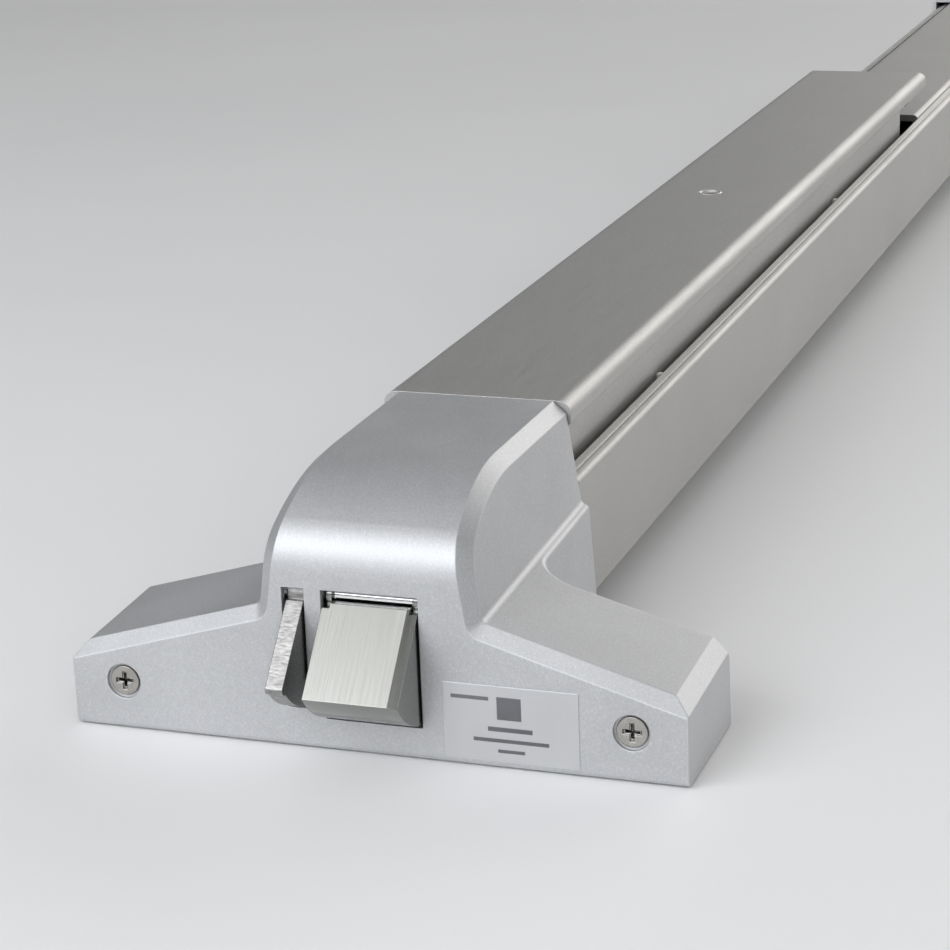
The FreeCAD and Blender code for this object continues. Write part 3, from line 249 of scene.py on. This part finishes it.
MATERIALS = {
    "head_paint": head_paint(),
    "bar_aluminium": brushed("bar_aluminium", (0.54, 0.535, 0.525), (0.575, 0.57, 0.56), 0.56, **EXTRUDED),
    "filler_aluminium": brushed("filler_aluminium", (0.535, 0.53, 0.52), (0.57, 0.565, 0.555), 0.57,
                                **EXTRUDED),
    "latch_nickel": brushed("latch_nickel", (0.31, 0.314, 0.298), (0.345, 0.35, 0.333), 0.2,
                            streak=(30, 2600, 30), depth=0.0012 * MM, edge=0.3 * MM),
    "lever_casting": brushed("lever_casting", (0.19, 0.188, 0.185), (0.52, 0.515, 0.505), 0.34,
                             streak=(1300, 420, 2300), depth=0.12 * MM),
    "zinc_steel": plated("zinc_steel", (0.55, 0.56, 0.56), (0.68, 0.68, 0.66), 0.36, grain=60),
    "crank_steel": plated("crank_steel", (0.46, 0.47, 0.48), (0.60, 0.60, 0.60), 0.32, grain=110),
    "pin_chrome": plated("pin_chrome", (0.66, 0.66, 0.67), (0.76, 0.76, 0.77), 0.16, grain=70,
                         depth=0.008 * MM),
    # The screws get painted shade in their cross recesses.
    "screw_nickel": plated("screw_nickel", (0.40, 0.38, 0.35), (0.50, 0.48, 0.45), 0.26, grain=260,
                           hollow_shade=0.95),
    "dog_brass": plated("dog_steel", (0.62, 0.61, 0.58), (0.74, 0.72, 0.69), 0.42, grain=150,
                        depth=0.03 * MM),
    "spring_steel": plated("spring_steel", (0.26, 0.26, 0.28), (0.42, 0.42, 0.44), 0.3, grain=300),
    "nylon": moulded("nylon", (0.70, 0.68, 0.62), (0.78, 0.77, 0.72), 0.45),
    "black_plastic": moulded("black_plastic", (0.012, 0.012, 0.013), (0.022, 0.022, 0.024), 0.5),
    "rubber": moulded("rubber", (0.018, 0.018, 0.02), (0.03, 0.03, 0.032), 0.72, grain=1500),
    "label_film": moulded("label_film", (0.585, 0.59, 0.60), (0.615, 0.62, 0.635), 0.42, grain=2600,
                          depth=0.01 * MM, metallic=0.62),
}

for part in frame["record"]["subparts"]:
    for slot in nodes[part["node"]].material_slots:
        slot.material = MATERIALS[part["material_slot"]]

# The dogging rim shares the screws' slot, but has none of their painted shade in its hollows and is more
# matt than they are.
rim_satin = plated("rim_satin", (0.64, 0.63, 0.61), (0.72, 0.71, 0.69), 0.55)
nodes["dog_rim"].material_slots[0].material = rim_satin


# ---------------------------------------------------------------- details

def piece(name, mesh, material, body):
    """A new piece made of a mesh, riding on a CAD body."""
    made = bpy.data.objects.new(name, mesh)
    scene.collection.objects.link(made)
    mesh.materials.clear()
    mesh.materials.append(material)
    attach(made, body)
    return made


def label_print():
    """Generic print on the blank sticker: a square mark and plain rules, standing a little proud of it."""
    low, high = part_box("rating_label")
    width, height = high.y - low.y, high.z - low.z
    front, back = low.x - 0.03 * MM, low.x + 0.02 * MM
    # Left and right edge, bottom and top edge, as fractions of the sticker seen from the front.
    blocks = [(0.06, 0.34, 0.80, 0.85), (0.40, 0.58, 0.56, 0.86), (0.33, 0.66, 0.40, 0.46),
              (0.22, 0.78, 0.255, 0.305), (0.40, 0.60, 0.12, 0.165)]
    box_faces = ((0, 1, 2, 3), (7, 6, 5, 4), (0, 4, 5, 1), (1, 5, 6, 2), (2, 6, 7, 3), (3, 7, 4, 0))
    mesh = bmesh.new()
    for left, right, bottom, top in blocks:
        y_left, y_right = high.y - left * width, high.y - right * width
        z_bottom, z_top = low.z + bottom * height, low.z + top * height
        outline = ((y_left, z_bottom), (y_right, z_bottom), (y_right, z_top), (y_left, z_top))
        corners = [mesh.verts.new((x, y, z)) for x in (front, back) for y, z in outline]
        for face in box_faces:
            mesh.faces.new([corners[i] for i in face])
    bmesh.ops.recalc_face_normals(mesh, faces=mesh.faces)
    data = bpy.data.meshes.new("label_print")
    mesh.to_mesh(data)
    ink = moulded("label_ink", (0.10, 0.10, 0.11), (0.16, 0.16, 0.17), 0.5, grain=4000, depth=0.004 * MM)
    piece("label_print", data, ink, "frame")


def coil(name, foot, mean_radius, wire_radius, rise, turns):
    """The mesh of a spring wound up from a foot on its axis, its first and last turns nearly closed."""
    closed_pitch, steps_per_turn = 1.5 * MM, 28
    open_turns = turns - 2
    open_pitch = (rise - 2 * closed_pitch) / open_turns
    curve = bpy.data.curves.new(name, "CURVE")
    curve.dimensions = "3D"
    curve.bevel_depth = wire_radius
    curve.bevel_resolution = 3
    curve.use_fill_caps = True
    line = curve.splines.new("POLY")
    line.points.add(turns * steps_per_turn)
    for i, point in enumerate(line.points):
        turn = i / steps_per_turn
        closed = min(turn, 1) + max(turn - open_turns - 1, 0)
        height = closed_pitch * closed + open_pitch * min(max(turn - 1, 0), open_turns)
        angle = 2 * math.pi * turn
        across = Vector((mean_radius * math.cos(angle), mean_radius * math.sin(angle), height))
        point.co = (*(foot + across), 1)
    wire = bpy.data.objects.new(name, curve)
    scene.collection.objects.link(wire)
    mesh = bpy.data.meshes.new_from_object(wire.evaluated_get(bpy.context.evaluated_depsgraph_get()))
    bpy.data.objects.remove(wire)
    mesh.shade_smooth()
    return mesh


def return_spring(number):
    """A compression spring wound in place of its CAD node, built at its full length on the frame body."""
    node, wire_radius = f"return_spring_{number}", 0.7 * MM
    low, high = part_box(node)
    length = high.z - low.z
    foot = Vector(((low.x + high.x) / 2, (low.y + high.y) / 2, low.z))
    mesh = coil(node + "_wire", foot + Vector((0, 0, wire_radius)), (high.x - low.x) / 2 - wire_radius,
                wire_radius, length - 2 * wire_radius, turns=13)
    made = piece(f"wound_spring_{number}", mesh, MATERIALS["spring_steel"], "frame")
    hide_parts(node)
    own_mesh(made)


label_print()
for number in (1, 2):
    return_spring(number)


# ---------------------------------------------------------------- studio

def floor():
    """A pale floor just under the door face, which reaches as far as it takes to fade out."""
    half = FADE_END
    corners = [(-half, -half, 0), (half, -half, 0), (half, half, 0), (-half, half, 0)]
    mesh = bpy.data.meshes.new("studio_floor")
    mesh.from_pydata(corners, [], [(0, 1, 2, 3)])
    mesh.materials.append(floor_paint())
    made = bpy.data.objects.new("studio_floor", mesh)
    made.location = FLOOR_MIDDLE
    scene.collection.objects.link(made)


def area_light(name, place, target, size, power, colour=(1, 1, 1)):
    """A soft rectangular light, its size in metres and its power in watts."""
    data = bpy.data.lights.new(name, "AREA")
    data.shape = "RECTANGLE"
    data.size, data.size_y = size
    data.energy = power
    data.color = colour
    made = bpy.data.objects.new(name, data)
    made.location = place
    made.rotation_euler = (Vector(target) - Vector(place)).to_track_quat("-Z", "Y").to_euler()
    scene.collection.objects.link(made)


def camera():
    """The photograph's view: low, from ahead of the head and to its right."""
    data = bpy.data.cameras.new("camera")
    data.sensor_width, data.lens = 36.0, 101.46
    data.clip_start, data.clip_end = 0.02, 60
    made = bpy.data.objects.new("camera", data)
    made.location = (-0.68432, -0.27478, 0.31345)
    made.rotation_euler = [math.radians(turn) for turn in (72.216, 2.101, -70.767)]
    scene.collection.objects.link(made)
    scene.camera = made


def backdrop():
    """Dim grey surroundings for the metal to reflect, pale where the camera sees them directly."""
    reflected, seen = 0.17, 0.62
    world = bpy.data.worlds.new("studio")
    world.use_nodes = True
    tree = world.node_tree
    camera_ray = tree.nodes.new("ShaderNodeLightPath").outputs["Is Camera Ray"]
    strength = tree.nodes.new("ShaderNodeMapRange")
    strength.inputs["To Min"].default_value = reflected
    strength.inputs["To Max"].default_value = seen
    tree.links.new(camera_ray, strength.inputs["Value"])
    shade = tree.nodes["Background"]
    shade.inputs["Color"].default_value = (0.95, 0.97, 1.0, 1)
    tree.links.new(strength.outputs["Result"], shade.inputs["Strength"])
    scene.world = world


floor()
camera()
# Lights the touch bar's bead, the ledge, the right wing and the chamfers.
area_light("behind_right", (4.2, -1.8, 1.75), (0.3, 0, 0.05), (4.6, 2.4), 88, (1.0, 0.98, 0.945))
# Makes the highlight over the head's nose.
area_light("key", (-1.6, 0.78, 1.15), (0, 0, 0.05), (2.2, 1.2), 32, (0.95, 0.97, 1.0))
# Fills the head's front.
area_light("camera_side", (-2.0, -1.7, 1.9), (0, 0, 0.05), (2.0, 2.0), 22)
# The latch bolt's face mirrors this one.
area_light("high_card", (-0.95, 0.68, 1.85), (0, 0, 0.03), (1.3, 1.0), 5.5)
area_light("overhead", (0.3, 0.3, 3.2), (0.3, 0, 0), (3.0, 3.0), 10)
backdrop()
scene.view_settings.view_transform = "Standard"
